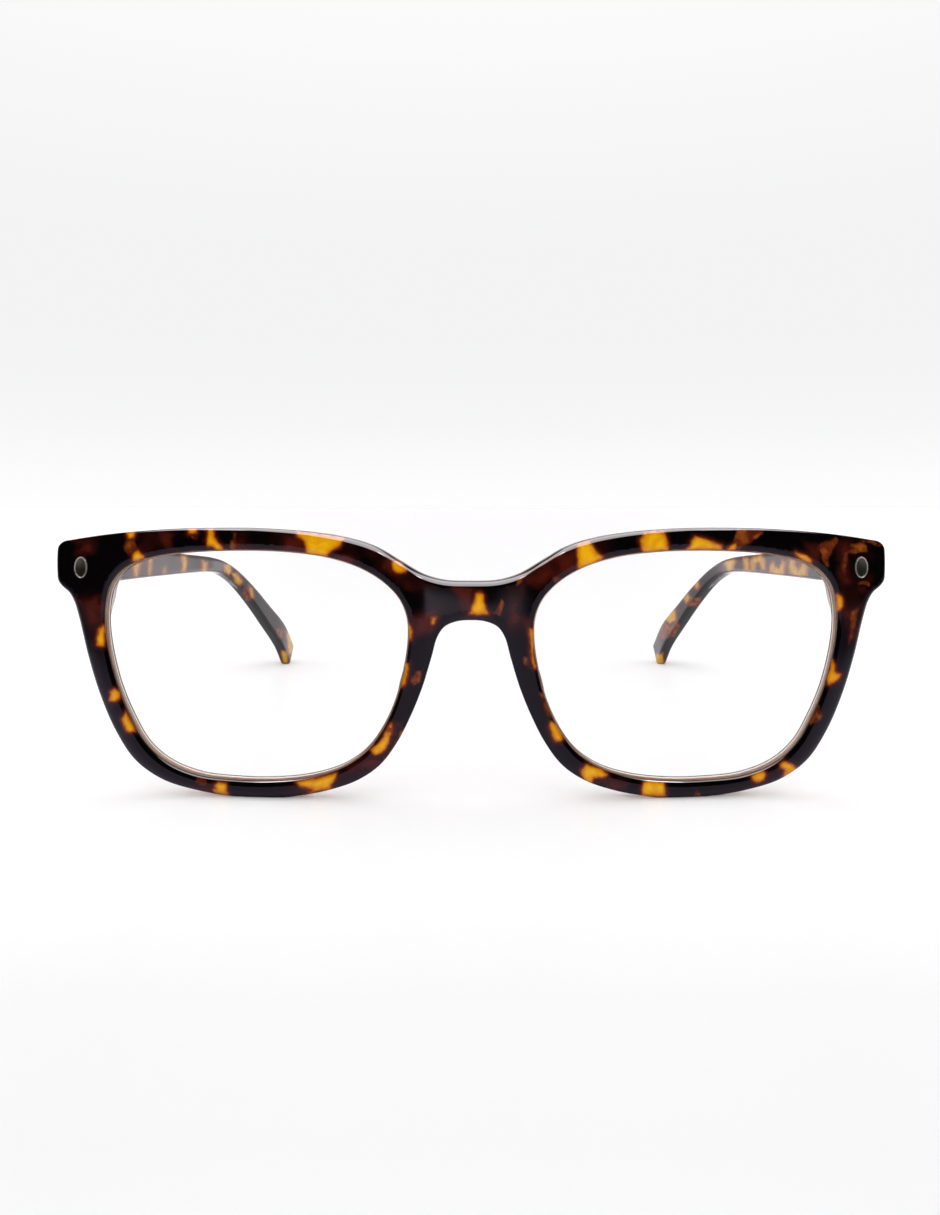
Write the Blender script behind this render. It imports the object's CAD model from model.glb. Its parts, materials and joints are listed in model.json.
"""Square reading glasses: polished tortoise acetate on a crystal back layer, clear lenses, nickel hinges.

Metres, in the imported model's frame: the front faces -Y, +X is the wearer's left, the rims stand on Z = 0.
"""

import json
import math
from functools import partial

import bmesh
import bpy
import numpy as np
from mathutils import Matrix, Vector
from mathutils.geometry import delaunay_2d_cdt


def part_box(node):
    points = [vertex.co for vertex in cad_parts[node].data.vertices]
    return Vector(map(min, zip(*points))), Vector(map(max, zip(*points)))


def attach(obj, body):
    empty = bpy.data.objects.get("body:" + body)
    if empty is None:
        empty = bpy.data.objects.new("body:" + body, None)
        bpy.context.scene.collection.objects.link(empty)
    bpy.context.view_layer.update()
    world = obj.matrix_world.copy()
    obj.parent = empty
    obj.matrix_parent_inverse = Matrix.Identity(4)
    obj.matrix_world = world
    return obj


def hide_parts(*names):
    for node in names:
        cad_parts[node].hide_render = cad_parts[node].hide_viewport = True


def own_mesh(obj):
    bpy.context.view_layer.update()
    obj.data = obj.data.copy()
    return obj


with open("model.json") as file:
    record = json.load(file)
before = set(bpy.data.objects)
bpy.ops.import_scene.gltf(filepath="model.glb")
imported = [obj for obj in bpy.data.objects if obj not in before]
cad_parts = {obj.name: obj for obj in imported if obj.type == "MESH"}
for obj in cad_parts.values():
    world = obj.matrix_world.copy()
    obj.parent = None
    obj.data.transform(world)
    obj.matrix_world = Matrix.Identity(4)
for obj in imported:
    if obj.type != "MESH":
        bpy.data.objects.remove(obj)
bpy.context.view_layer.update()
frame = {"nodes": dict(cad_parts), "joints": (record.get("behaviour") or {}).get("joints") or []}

MM = 0.001
SIDES = {"left": 1, "right": -1}

# The front, as it is cut and bent. Places across and up it are shares, as on a maker's drawing
LENS_OPENING_WIDTH = 53.4 * MM
LENS_OPENING_HEIGHT = 39.7 * MM
BRIDGE_GAP = 21 * MM
LOWER_RIM = 2.85 * MM
BROW_RIM = 3.7 * MM
END_PIECE_REACH = 8.9 * MM
WRAP_RADIUS = 471 * MM
RIM_THICKNESS = 3.6 * MM
END_THICKNESS = 4.55 * MM
TORTOISE_DEPTH = 1.05 * MM
OPENING_TORTOISE_DEPTH = 0.68 * MM
LAYER_OVERLAP = 0.02 * MM
OUTER_BEVEL_WIDTH = 2.2 * MM
OUTER_BEVEL_DEPTH = 1 * MM
REAR_ROUND = 0.6 * MM
OPENING_BEVEL_WIDTH = 0.8 * MM
OPENING_BEVEL_DEPTH = 0.45 * MM
OPENING_REAR_ROUND = 0.7 * MM
BEVEL_PULL = (0.4, 0.26)
BEVEL_STEPS = (0, 0.08, 0.25, 0.5, 0.75, 0.92, 1)
ROUND_STEPS = (0, 0.12, 0.3, 0.5, 0.7, 0.88, 1)

# Lenses and their groove
LENS_FRONT_RADIUS = 180 * MM
LENS_BACK_RADIUS = 391 * MM
LENS_THICKNESS = 2.2 * MM
LENS_SETBACK = 1.15 * MM
GROOVE_WIDTH = 1.4 * MM
LENS_BEVEL_REACH = 0.45 * MM
LENS_SHOULDER = 0.25 * MM
LENS_RING_SHARES = (0.15, 0.35, 0.55, 0.75, 0.9, 1)

# Pads, plaques and the seat of the hinge leaf
PAD_WIDTH = 3.9 * MM
PAD_HEIGHT = 15.5 * MM
PAD_STANDOFF = 4.4 * MM
PAD_LEAN = math.radians(20)
PAD_PLACE = (0.915, 1.48)
PLAQUE_WIDTH = 2.4 * MM
PLAQUE_HEIGHT = 3.7 * MM
PLAQUE_THICKNESS = 0.6 * MM
PLAQUE_PROUD = 0.12 * MM
PLAQUE_PLACE = (2.49, 1.918)
PLAQUE_RIM = 0.22 * MM
PLAQUE_DISH = 0.07 * MM
GLUE_GAP = 0.12 * MM
OVERRUN = 2 * MM

# Temples
TEMPLE_REACH = 128.7 * MM
TEMPLE_HEIGHT = 7.8 * MM
TEMPLE_THICKNESS = 3.5 * MM
TEMPLE_STEP = 0.2 * MM
TEMPLE_EDGE_ROUND = 0.9 * MM
TIP_INSET = 11.9 * MM
TIP_ROUND = 1.6 * MM
BUTT_GAP = 0.3 * MM

# Hinge springs
SPRING_WIRE_RADIUS = 0.13 * MM
SPRING_TURNS = 7

# How finely the curves are drawn
OUTLINE_SPACING = 0.5 * MM
FACE_SPACING = 0.4 * MM
BACK_SPACING = 2 * FACE_SPACING
BOND_SPACING = 3 * FACE_SPACING
GRID_CLEAR_SHARE = 0.6
SAME_PLACE = 0.0001 * MM
OVAL_SIDES = 64
PAD_SIDES = 48
PAD_RINGS = 32
TEMPLE_SPACING = 0.8 * MM
CORNER_STEPS = 6
SHORT_SIDE_STEPS = 3
LONG_SIDE_STEPS = 7
TIP_STEPS = 6
SPRING_STEPS_PER_TURN = 36
SPRING_WIRE_SIDES = 12

# Half of the front's outline, from the bridge's top round to the nose arch: across, up, bevel width, depth
OUTLINE_SHARES = (
    (0, 1.864, 0.36, 1), (0.438, 1.869, 0.36, 1), (0.781, 1.895, 0.36, 1),
    (1.028, 1.95, 0.36, 0.95), (1.105, 2.108, 0.36, 0.9), (1.187, 2.5, 0.34, 0.85),
    (1.309, 2.797, 0.28, 0.7), (1.478, 2.973, 0.22, 0.5), (1.609, 3, 0.19, 0.45),
    (1.777, 2.946, 0.17, 0.4), (1.964, 2.73, 0.16, 0.35), (2.663, 2.432, 0.16, 0.35),
    (2.876, 2.324, 0.16, 0.35), (2.978, 2.095, 0.16, 0.35), (3, 1.976, 0.16, 0.35),
    (3, 1.895, 0.16, 0.35), (2.984, 1.861, 0.16, 0.35), (2.901, 1.835, 0.18, 0.35),
    (2.756, 1.808, 0.25, 0.4), (2.655, 1.77, 0.4, 0.5), (2.554, 1.699, 0.6, 0.6),
    (2.368, 1.529, 0.85, 0.75), (2.131, 1.362, 0.95, 0.85), (1.967, 1.2, 1, 0.9),
    (1.9, 1.074, 0.95, 0.9), (1.808, 0.91, 0.85, 0.9), (1.694, 0.32, 0.72, 0.9),
    (1.571, 0.012, 0.76, 0.9), (1.449, -0.06, 0.76, 0.9), (1.346, 0.165, 0.76, 0.9),
    (1.262, 0.49, 0.8, 0.9), (1.168, 1.008, 0.85, 0.85), (1.095, 1.075, 0.85, 0.8),
    (1.041, 1.17, 0.85, 0.8), (0.99, 1.281, 0.75, 0.75), (0.795, 1.407, 0.65, 0.7),
    (0.643, 1.538, 0.6, 0.7), (0.548, 1.626, 0.6, 0.7), (0.429, 1.671, 0.6, 0.7),
    (0.229, 1.694, 0.6, 0.7), (0, 1.699, 0.6, 0.7),
)

# The left lens opening, from its top outwards and down: across, up, bevel width
OPENING_SHARES = (
    (1.487, 2, 0.9), (1.655, 1.996, 0.9), (1.777, 1.981, 1), (1.876, 1.953, 1),
    (1.942, 1.909, 1), (1.984, 1.837, 0.9), (1.999, 1.749, 0.8), (2, 1.659, 0.8),
    (1.988, 1.545, 0.8), (1.958, 1.397, 0.8), (1.915, 1.265, 0.85), (1.862, 1.148, 0.9),
    (1.789, 1.067, 0.95), (1.685, 1.016, 0.95), (1.562, 1, 1), (1.44, 0.999, 1),
    (1.318, 1.019, 0.95), (1.215, 1.062, 0.9), (1.138, 1.132, 0.85), (1.085, 1.227, 0.8),
    (1.043, 1.349, 0.75), (1.016, 1.482, 0.7), (1.002, 1.613, 0.7), (1.005, 1.707, 0.8),
    (1.03, 1.79, 0.9), (1.084, 1.866, 0.9), (1.166, 1.93, 0.9), (1.271, 1.973, 0.9),
    (1.375, 1.992, 0.9),
)

# The temple from its butt to its tip: along, level, inset, height and thickness
TEMPLE_SHARES = (
    (0, 1, 0, 1, 1), (0.112, 0.976, 0, 0.9, 1), (0.228, 0.953, 0, 0.8, 1),
    (0.344, 0.926, 0, 0.68, 0.97), (0.459, 0.901, 0, 0.59, 0.94), (0.56, 0.878, 0, 0.53, 0.91),
    (0.629, 0.857, 0.008, 0.49, 0.89), (0.691, 0.822, 0.045, 0.48, 0.89),
    (0.749, 0.746, 0.165, 0.54, 0.86), (0.811, 0.605, 0.37, 0.67, 0.86),
    (0.88, 0.418, 0.605, 0.84, 0.86), (0.946, 0.231, 0.824, 1.02, 0.86),
    (0.982, 0.074, 0.94, 1.06, 0.86),
)

# Where the end piece's thick back begins, and the ramps that lead up to it
END_FLAT_SHARE = 2.2
END_RAMP_SHARE = 1.93
END_FLAT_LEVEL_SHARE = 1.79
END_RAMP_LEVEL_SHARE = 1.68

# The view: a pinhole level with the brow, and the picture's size and optical middle in its own pixels
PICTURE_SIZE = (940, 1215)
FOCAL_PIXELS = 915
OPTICAL_MIDDLE = (476, 505)
EYE_DISTANCE = 155 * MM
EYE_X = 0.85 * MM
EYE_Z = 50.2 * MM
SENSOR = 36
CAMERA_CLIP = 10 * MM

# The floor's bright strip that the lower rims mirror, in millimetres across and ahead of the face, its lift
# off the floor, and the floor's reach
STRIP = ((-30, 250), (-43, 393), (-7, 328), (5, 290), (18, 300), (43, 393), (30, 250))
STRIP_LIFT = 0.001 * MM
NEAR_FLOOR_REACH = 500 * MM
NEAR_FLOOR_FRONT = -320 * MM
NEAR_FLOOR_BACK = 100 * MM
FLOOR_REACH = 12000 * MM

# The light tent as the polish mirrors it. Each part is ramps along a ray's direction, multiplied together:
# the axis, where the ramp starts and ends, and its values there if they aren't 0 and 1
TENT = {
    "back": (("Y", 0.6, 0.92, 0.35, 1.3), ("Y", 0.943, 0.968, 1, 0.3), ("Z", 0.16, 0.27, 1, 0.2)),
    "panel": (("Z", 0.83, 0.87, 0, 9.5),),
    "lamps": (("aside", 0.31, 0.34, 0, 36), ("aside", 0.43, 0.4), ("Y", -0.22, -0.26), ("Z", 0.84, 0.86)),
    "room": (("Y", 0.06, -0.14), ("Z", 0.86, 0.78)),
}

# How far a flake colours the sheet round it, in millimetres, and where a temple shows through the lenses
FLAKE_FAR = 4.0
SEEN_THICKNESS_SHARE = 0.3
SEEN_FROM = 28 * MM
SEEN_BLEND = 4 * MM
OUTER_BLEND = 1 * MM

# Amber flakes in the sheet, each an outline whose corners are in pixels of the view
FRONT_AMBER = (
    ((127, 532), (134.5, 532), (133, 538), (129, 538)),
    ((132.5, 555), (138, 551), (143, 555), (143.5, 558), (137, 561), (133, 561)),
    ((188, 528.5), (197, 528.5), (196, 533), (189, 533.5)),
    ((208, 528.5), (211.5, 528.5), (214, 537), (218, 543), (222, 547), (224, 550), (217, 550),
     (213, 546), (208, 546), (207, 540)),
    ((297, 531), (345, 538), (342, 541), (340, 546), (335, 548), (331, 551), (328, 554), (327, 557),
     (306, 554), (306, 548), (305, 541), (302, 539), (297, 536)),
    ((392, 562), (396, 561), (400, 563), (406, 570), (405, 572), (401, 573), (396, 572), (393, 569),
     (392, 565)),
    ((408, 625), (411, 626), (412, 632), (411, 640), (409, 639)),
    ((432, 618), (436, 618), (434, 623), (432, 624)),
    ((476, 594), (480, 593), (483, 596), (484, 603), (485, 609), (489, 614), (469, 614), (472, 609),
     (474, 602)),
    ((578, 544), (589, 541), (593, 548), (602, 557), (601, 560), (590, 565), (578, 569), (578, 560),
     (577, 553)),
    ((644, 532), (663, 531), (666, 538), (668, 546), (668, 551), (655, 552), (644, 553), (642, 546),
     (640, 540), (643, 538)),
    ((686, 550), (690, 546), (693, 540), (696, 537), (703, 539), (712, 542), (722, 545), (722, 550),
     (700, 550.5)),
    ((728, 550), (731, 546), (737, 543), (734, 550)),
    ((795, 552), (800, 554), (806, 556), (811, 560), (811, 563), (806, 562), (800, 558)),
    ((837, 595), (840, 596), (842, 601), (842.5, 606), (840, 610), (837, 610)),
    ((832, 660), (834, 664), (835, 672), (840, 675), (839, 679), (834, 682), (828, 684), (827, 678),
     (830, 670)),
    ((781, 764), (785, 762), (791, 764), (794, 767), (797, 770), (790, 775), (783, 777), (786, 771),
     (784, 769), (781, 767)),
    ((752, 776), (757, 773), (764, 772), (766, 775), (764, 779), (758, 782), (753, 780)),
    ((644, 782), (664, 782), (665, 790), (666, 796), (642, 796), (642, 788)),
    ((582, 770), (586, 765), (595, 768), (602, 770), (607, 775), (603, 777), (594, 778), (592, 783),
     (586, 781), (582, 776)),
    ((551, 722), (556, 724), (561, 735), (563, 739), (560, 741), (555, 741), (552, 734), (550, 728)),
    ((530, 628), (534, 630), (533, 650), (535, 668), (532, 660), (531, 645)),
    ((99, 630), (104, 625), (105, 630), (104, 646), (101, 646), (97, 645), (97, 638)),
    ((110, 692), (115, 689), (120, 692), (120, 699), (115, 701), (109, 701), (110, 697)),
    ((126, 712), (128, 716), (132, 724), (135, 731), (131, 732), (127, 731), (124, 726), (122, 719)),
    ((215, 785), (219, 782), (226, 784), (226, 790), (228, 795), (215, 793), (213, 790), (217, 789)),
    ((297, 782), (310, 780), (328, 776), (336, 773.5), (335, 780), (330, 786), (332, 788), (308, 793),
     (314, 789), (310, 788), (300, 786)),
    ((372, 750), (380, 742), (388, 730), (391, 724), (392, 728), (390, 735), (388, 742), (385, 749),
     (379, 754), (374, 755)),
    ((405, 662), (408, 664), (407, 675), (405, 685), (402, 687), (402, 680), (404, 672)),
)

# Orange-brown flakes, deeper in the sheet
FRONT_ORANGE = (
    ((191, 535), (195, 535.5), (196, 539), (192, 537)),
    ((126, 536), (133, 537), (135, 545), (137, 550), (140, 553), (134, 557), (130, 554), (126, 551),
     (124, 547), (127, 541)),
    ((234, 533), (236, 533), (236, 550), (230, 550), (232, 543)),
    ((502, 600), (503, 605), (501, 615), (493, 614), (497, 610)),
    ((520, 577), (527, 576), (522, 582), (516, 586)),
    ((737, 529), (763, 529), (763, 531), (757, 538), (750, 543), (742, 547), (736, 550), (728, 550),
     (731, 546), (734, 542), (736, 537)),
    ((818, 545), (836, 538), (838, 541), (833, 548), (829, 558), (828, 566), (826, 566), (822, 556)),
    ((851, 545), (860, 543.5), (866, 545), (866, 551.5), (848, 552.5), (848, 551), (857, 549.5)),
    ((863, 540.5), (873, 541.5), (881, 544.5), (880, 546), (872, 543.5), (864, 542.5)),
    ((844, 554), (846.5, 554), (845.5, 566), (845, 575), (842, 570), (843, 563)),
    ((858, 583), (866, 581.5), (869.5, 586), (866, 585)),
    ((857, 608), (856, 620), (852, 632), (849, 645), (848, 650), (850, 635), (852, 622), (852, 612)),
    ((819, 703), (820, 712), (815, 720), (811, 725), (808, 722), (814, 712)),
    ((820, 712), (823, 714), (818, 722), (815, 722)),
    ((697, 791), (699, 794), (699, 796), (694, 796)),
    ((540, 693), (542, 693), (552, 718), (550, 719)),
    ((523, 657), (528, 659), (531, 669), (527, 667), (524, 662)),
    ((553, 578), (558, 576), (560, 579), (556, 582)),
    ((197, 779), (199, 777), (206, 780), (206, 784), (201, 785), (197, 782)),
    ((401, 731), (403, 731), (392, 751), (385, 758), (390, 750)),
    ((415, 671), (423, 670), (420, 682), (414, 686), (411, 682)),
)

# Red-brown clouds round and between the flakes
FRONT_BROWN = (
    ((76, 540), (95, 541), (92, 552), (78, 554), (80, 545)),
    ((80, 596), (100, 596), (100, 625), (96, 640), (92, 640), (88, 618)),
    ((144, 534), (175, 530), (172, 541), (170, 547), (136, 548), (140, 541)),
    ((276, 532), (298, 532), (305, 540), (306, 553), (278, 550)),
    ((335, 562), (350, 545), (356, 552), (350, 564)),
    ((370, 546), (392, 561), (392, 572), (400, 575), (425, 582), (432, 588), (425, 592), (405, 585),
     (385, 570), (366, 552)),
    ((412, 612), (435, 612), (432, 632), (414, 632), (409, 620)),
    ((455, 588), (475, 588), (475, 603), (468, 612), (460, 604)),
    ((512, 590), (522, 585), (520, 600), (516, 612), (524, 618), (532, 618), (533, 632), (514, 632),
     (512, 620)),
    ((520, 575), (550, 555), (575, 546), (577, 566), (560, 574), (540, 584), (528, 582)),
    ((590, 542), (610, 540), (608, 556), (600, 556)),
    ((235, 531), (247, 530), (248, 546), (236, 549)),
    ((806, 545), (818, 548), (816, 562), (808, 558)),
    ((840, 541), (868, 543), (868, 556), (848, 556), (848, 578), (868, 578), (868, 583), (848, 583),
     (841, 577)),
    ((846, 590), (866, 588), (862, 600), (856, 640), (850, 640), (846, 612)),
    ((340, 776), (372, 758), (384, 748), (392, 732), (398, 722), (402, 726), (398, 742), (388, 760),
     (365, 776), (345, 783)),
    ((594, 778), (608, 777), (625, 786), (610, 787)),
    ((765, 770), (783, 768), (785, 774), (770, 780)),
    ((197, 786), (214, 786), (214, 792), (197, 792)),
    ((295, 787), (308, 788), (300, 794), (285, 793)),
)

# Flakes on the temples' inner faces, as they show through the lenses
TEMPLE_AMBER = (
    ((131, 560), (142, 560), (139.5, 570), (138, 577), (134, 577), (133, 568)),
    ((148, 558), (152.5, 558), (151.5, 570), (151.5, 577), (148.8, 577)),
    ((163.5, 568), (165.8, 567), (165.3, 574), (163.8, 574)),
    ((180.5, 555), (187, 555), (187.8, 562), (185.5, 572), (181.5, 572), (182, 563)),
    ((202, 560), (208, 562), (207.5, 568), (206.5, 573), (201.5, 573)),
    ((223.5, 565), (230, 563), (232, 571), (229, 575), (225, 573)),
    ((231.5, 573), (237, 572.5), (243, 581), (240, 586), (235, 583)),
    ((248.5, 585), (253, 589), (254, 598), (250.5, 598)),
    ((286, 630), (299, 638), (299, 652), (289, 655)),
    ((281, 650), (288, 652), (288, 664), (283, 664)),
    ((725, 560), (735, 558), (737, 562), (732, 571), (728, 571), (724, 564)),
    ((742.5, 557), (748.5, 557), (750, 563), (749, 571), (743.5, 571), (743, 564)),
    ((750, 571), (750, 561), (753, 556), (762, 554), (765.5, 560), (766, 570), (761.5, 570), (759, 563),
     (757, 563), (755, 571)),
    ((769, 566), (773, 561), (776.5, 567), (779, 567), (782, 560), (786, 562), (784.5, 575), (775, 576),
     (770, 572)),
    ((788, 566), (789.5, 559), (794.5, 560), (796, 566), (799, 569), (802.5, 562), (808, 566),
     (807, 576), (797, 577), (790, 574)),
    ((694, 583), (698, 581), (700, 586), (697, 590), (694.5, 588)),
    ((682.5, 598), (688, 593), (691, 598), (686, 604)),
    ((668, 612), (676, 609), (676, 620), (670, 624), (665, 620)),
    ((652, 654), (663, 653), (664, 668), (652, 668)),
)

# Orange-brown flakes there
TEMPLE_ORANGE = (
    ((242, 588), (250, 588), (252, 599), (245, 602)),
    ((276.5, 628), (283, 629), (283.5, 638), (277, 638)),
    ((690, 599), (701, 597), (698, 606), (688, 607)),
    ((657, 634), (664, 621), (677, 619), (680, 626), (675, 636), (663, 640)),
)

def counted(share, sizes):
    """A place that counts named sizes one after the other: 1.5 is all of the first and half of the second."""
    whole = min(int(share), len(sizes) - 1)
    return sum(sizes[:whole]) + sizes[whole] * (share - whole)


def across(share):
    return counted(share, (BRIDGE_GAP / 2, LENS_OPENING_WIDTH, END_PIECE_REACH))


def up(share):
    return counted(share, (LOWER_RIM, LENS_OPENING_HEIGHT, BROW_RIM))


def wrap(x):
    """How far the face lies behind the bridge at a distance x from the middle."""
    return WRAP_RADIUS - math.sqrt(WRAP_RADIUS**2 - x * x)


def ramp(value, low, high):
    share = min(max((value - low) / (high - low), 0), 1)
    return share * share * (3 - 2 * share)


# Places that several pieces share. Depths are from the bridge's face, which is at FACE_Y in the model
FACE_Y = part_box("frame_front")[0].y
PIN = Vector(next(j["pos_m"] for j in frame["joints"] if j["name"] == "temple_left_fold"))
END_X = across(3)
END_REAR = wrap(END_X) + END_THICKNESS
TEMPLE_FRONT = END_REAR + BUTT_GAP
TEMPLE_INNER_X = END_X - TEMPLE_STEP - TEMPLE_THICKNESS


def rear(x, z):
    """Depth of the front's back, thick and flat where the temple meets it."""
    x = abs(x)
    plain = wrap(x) + RIM_THICKNESS
    at_end = ramp(x, across(END_RAMP_SHARE), across(END_FLAT_SHARE))
    at_end *= ramp(z, up(END_RAMP_LEVEL_SHARE), up(END_FLAT_LEVEL_SHARE))
    return plain + (END_REAR - plain) * at_end


# Finishes

# What gives a ramp soft ends
SOFT = {"interpolation_type": "SMOOTHSTEP"}

# Patterns in the tortoise sheet: the size of their features, their detail and their distortion
TORTOISE_GRAIN = {
    "edges": (1.4 * MM, 2, 0.4), "flow": (4 * MM, 2, 1.2), "chips": (5.5 * MM, 1, 1),
    "streaks": (2.6 * MM, 3, 1.2), "drift": (5 * MM, 1, 0.3), "haze": (9 * MM, 4, 0), "waves": (6 * MM, 1, 0),
}


def linear(hex_colour):
    """An sRGB hex colour as linear RGBA."""
    parts = [int(hex_colour[i : i + 2], 16) / 255 for i in (0, 2, 4)]
    return (*[c / 12.92 if c <= 0.04045 else ((c + 0.055) / 1.055) ** 2.4 for c in parts], 1)


def per(size):
    """The scale of a pattern whose features measure size."""
    return 1 / size


def add_node(tree, family, kind, inputs=(), stops=(), **settings):
    """A node with its settings. Its inputs are by name or in order: values, hex colours, sockets or nodes.

    stops fills a colour ramp.
    """
    made = tree.nodes.new(family + kind)
    for name, value in settings.items():
        setattr(made, name, value)
    if isinstance(inputs, dict):
        pairs = [(made.inputs[name], value) for name, value in inputs.items()]
    else:
        pairs = zip([socket for socket in made.inputs if socket.enabled], inputs)
    for socket, value in pairs:
        if isinstance(value, bpy.types.Node):
            value = next(output for output in value.outputs if output.enabled)
        if isinstance(value, bpy.types.NodeSocket):
            tree.links.new(value, socket)
        else:
            socket.default_value = linear(value) if isinstance(value, str) else value
    for _ in stops[2:]:
        made.color_ramp.elements.new(1)
    for spot, (place, colour) in enumerate(stops):
        made.color_ramp.elements[spot].position = place
        made.color_ramp.elements[spot].color = linear(colour)
    return made


def new_finish(name):
    """A material, the call that adds its nodes, and the place on the object that its patterns follow."""
    made = bpy.data.materials.new(name)
    made.use_nodes = True
    made.node_tree.nodes.clear()
    add = partial(add_node, made.node_tree, "ShaderNode")
    return made, add, add("TexCoord").outputs["Object"]


def tortoise_acetate(name, cloud, ambers, free_chips):
    """Cellulose acetate sheet, cut from a block of mixed chips and tumbled to a deep polish.

    The flakes run through the sheet's whole thickness, with ragged edges that fade red-brown into black.
    """
    made, add, place = new_finish(name)
    grain = {
        key: add("TexNoise", {"Vector": place, "Scale": per(size), "Detail": detail, "Distortion": twist})
        for key, (size, detail, twist) in TORTOISE_GRAIN.items()
    }
    reach = {
        key: add("Attribute", attribute_name=key).outputs["Fac"]
        for key in ("amber", "orange", "brown", "free")
    }
    ragged = add("Math", [grain["edges"], 0.5], operation="SUBTRACT")
    flowing = add("Math", [grain["flow"], 0.5], operation="SUBTRACT")
    chips = add("Math", [grain["chips"], free_chips, -0.6 * free_chips], operation="MULTIPLY_ADD")
    kept_out = add("Math", [reach["free"], 9, -9], operation="MULTIPLY_ADD")
    chips = add("Math", [chips, kept_out], operation="ADD")
    flakes = add("Math", [reach["amber"], chips], operation="MAXIMUM")
    amber = add("Math", [ragged, 0.7, flakes], operation="MULTIPLY_ADD")
    orange = add("Math", [ragged, reach["orange"]], operation="ADD")
    brown = add("Math", [flowing, 3, reach["brown"]], operation="MULTIPLY_ADD")

    streak = add("MapRange", [grain["streaks"], 0.35, 0.7], **SOFT)
    drift = add("MapRange", [grain["drift"], 0.38, 0.62], **SOFT)
    clouds = add("Mix", [drift, cloud, "44140b"], data_type="RGBA")
    warm = add("Mix", [streak, "4a160a", "82420f"], data_type="RGBA")
    glow = add("ValToRGB", [add("MapRange", [amber, 0, 1], **SOFT)], tuple(zip((0, 0.35, 1), ambers)))
    dull = add("MapRange", [streak, 0, 1, 0, 0.35], **SOFT)
    glow = add("Mix", [dull, glow, ambers[0]], data_type="RGBA")
    colour = "050304"
    for field, low, high, most, over in (
        (brown, -1.3, 1.1, 1, clouds), (orange, -0.35, 0.35, 1, warm),
        (amber, -1.1, -0.3, 0.7, "3c1206"), (amber, -0.45, -0.05, 1, "74300a"),
        (amber, -0.12, 0.1, 1, glow),
    ):
        cover = add("MapRange", [field, low, high, 0, most], **SOFT)
        colour = add("Mix", [cover, colour, over], data_type="RGBA")

    rough = add("MapRange", [grain["haze"], 0.3, 0.7, 0.05, 0.11], **SOFT)
    bump = add("Bump", {"Strength": 0.25, "Distance": 0.02 * MM, "Height": grain["waves"]})
    surface = {"Base Color": colour, "Roughness": rough, "IOR": 1.48, "Normal": bump}
    add("OutputMaterial", [add("BsdfPrincipled", surface)])
    return made


def crystal_acetate(name, clearness, bonded):
    """Clear champagne acetate, polished, with the faint flow lines of the extruded sheet.

    Its cut wall is cloudy, and dark beside the bond, where the tortoise shows through it. Its back is clear.
    """
    made, add, place = new_finish(name)
    flow = add("TexNoise", {"Vector": place, "Scale": per(7 * MM), "Detail": 3, "Distortion": 0.5})
    tone = add("MapRange", [flow, 0.3, 0.7], **SOFT)
    colour = add("Mix", [tone, "f2dccf", "ecccb8"], data_type="RGBA")
    if bonded:
        depth = add("Attribute", attribute_name="depth").outputs["Fac"]
        unevenness = add("Math", [flow, 0.5], operation="SUBTRACT")
        depth = add("Math", [unevenness, 0.15, depth], operation="MULTIPLY_ADD")
        bands = add(
            "ValToRGB", [add("Math", [depth, RIM_THICKNESS / MM], operation="DIVIDE")],
            ((0.18, "200e08"), (0.27, "2c160e"), (0.32, "c8ac94"), (0.45, "e6d2c4"), (1, "ecdcd2")),
        )
        colour = add("Mix", [0.95, colour, bands], data_type="RGBA")
    rough = add("MapRange", [flow, 0.3, 0.7, 0.06, 0.13], **SOFT)
    bump = add("Bump", {"Strength": 0.2, "Distance": 0.02 * MM, "Height": flow})
    surface = {"Base Color": colour, "Roughness": rough, "IOR": 1.48, "Normal": bump}
    add("OutputMaterial", [add("BsdfPrincipled", {**surface, "Transmission Weight": clearness})])
    return made


def lens_resin():
    """Cast lens resin with an anti-reflection coat.

    It shows what is behind it, and mirrors a little at its edges.
    """
    made, add, place = new_finish("cast_lens_resin")
    coated = add("Math", [add("Fresnel", [1.5]), 0.2], operation="MULTIPLY")
    smear = add("TexNoise", {"Vector": place, "Scale": per(12 * MM), "Detail": 4, "Distortion": 1})
    rough = add("MapRange", [smear, 0.3, 0.7, 0.01, 0.035], **SOFT)
    clear = add("BsdfTransparent", {"Color": "ffffff"})
    gloss = add("BsdfGlossy", {"Color": "ffffff", "Roughness": rough})
    add("OutputMaterial", [add("MixShader", [coated, clear, gloss])])
    return made


def ground_edge():
    """The lens's edge as the wheel leaves it: ground resin, frosted white.

    Seen through the lens it takes the rim's colour in lines, and is dark where the back of the rim shades it.
    The grit is drawn coarser than it is, so that it shows.
    """
    made, add, place = new_finish("ground_lens_edge")
    grit = add("TexNoise", {"Vector": place, "Scale": per(0.25 * MM), "Detail": 3})
    lines = add(
        "ValToRGB", [add("Attribute", attribute_name="across_edge").outputs["Fac"]],
        (
            (0.3, "b8947a"), (0.62, "d8bca4"), (0.69, "d4b69e"), (0.73, "6e5a50"), (0.78, "76645a"),
            (0.82, "eee0d8"), (0.885, "f4eae4"), (0.92, "4c4040"), (1, "3a3030"),
        ),
    )
    frost = add("MapRange", [grit, 0.3, 0.7, 0, 0.12], **SOFT)
    colour = add("Mix", [frost, lines, "f4f0ee"], data_type="RGBA")
    bump = add("Bump", {"Strength": 0.4, "Distance": 0.02 * MM, "Height": grit})
    surface = {"Base Color": colour, "Roughness": 0.55, "Normal": bump}
    add("OutputMaterial", [add("BsdfPrincipled", surface)])
    return made


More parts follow.
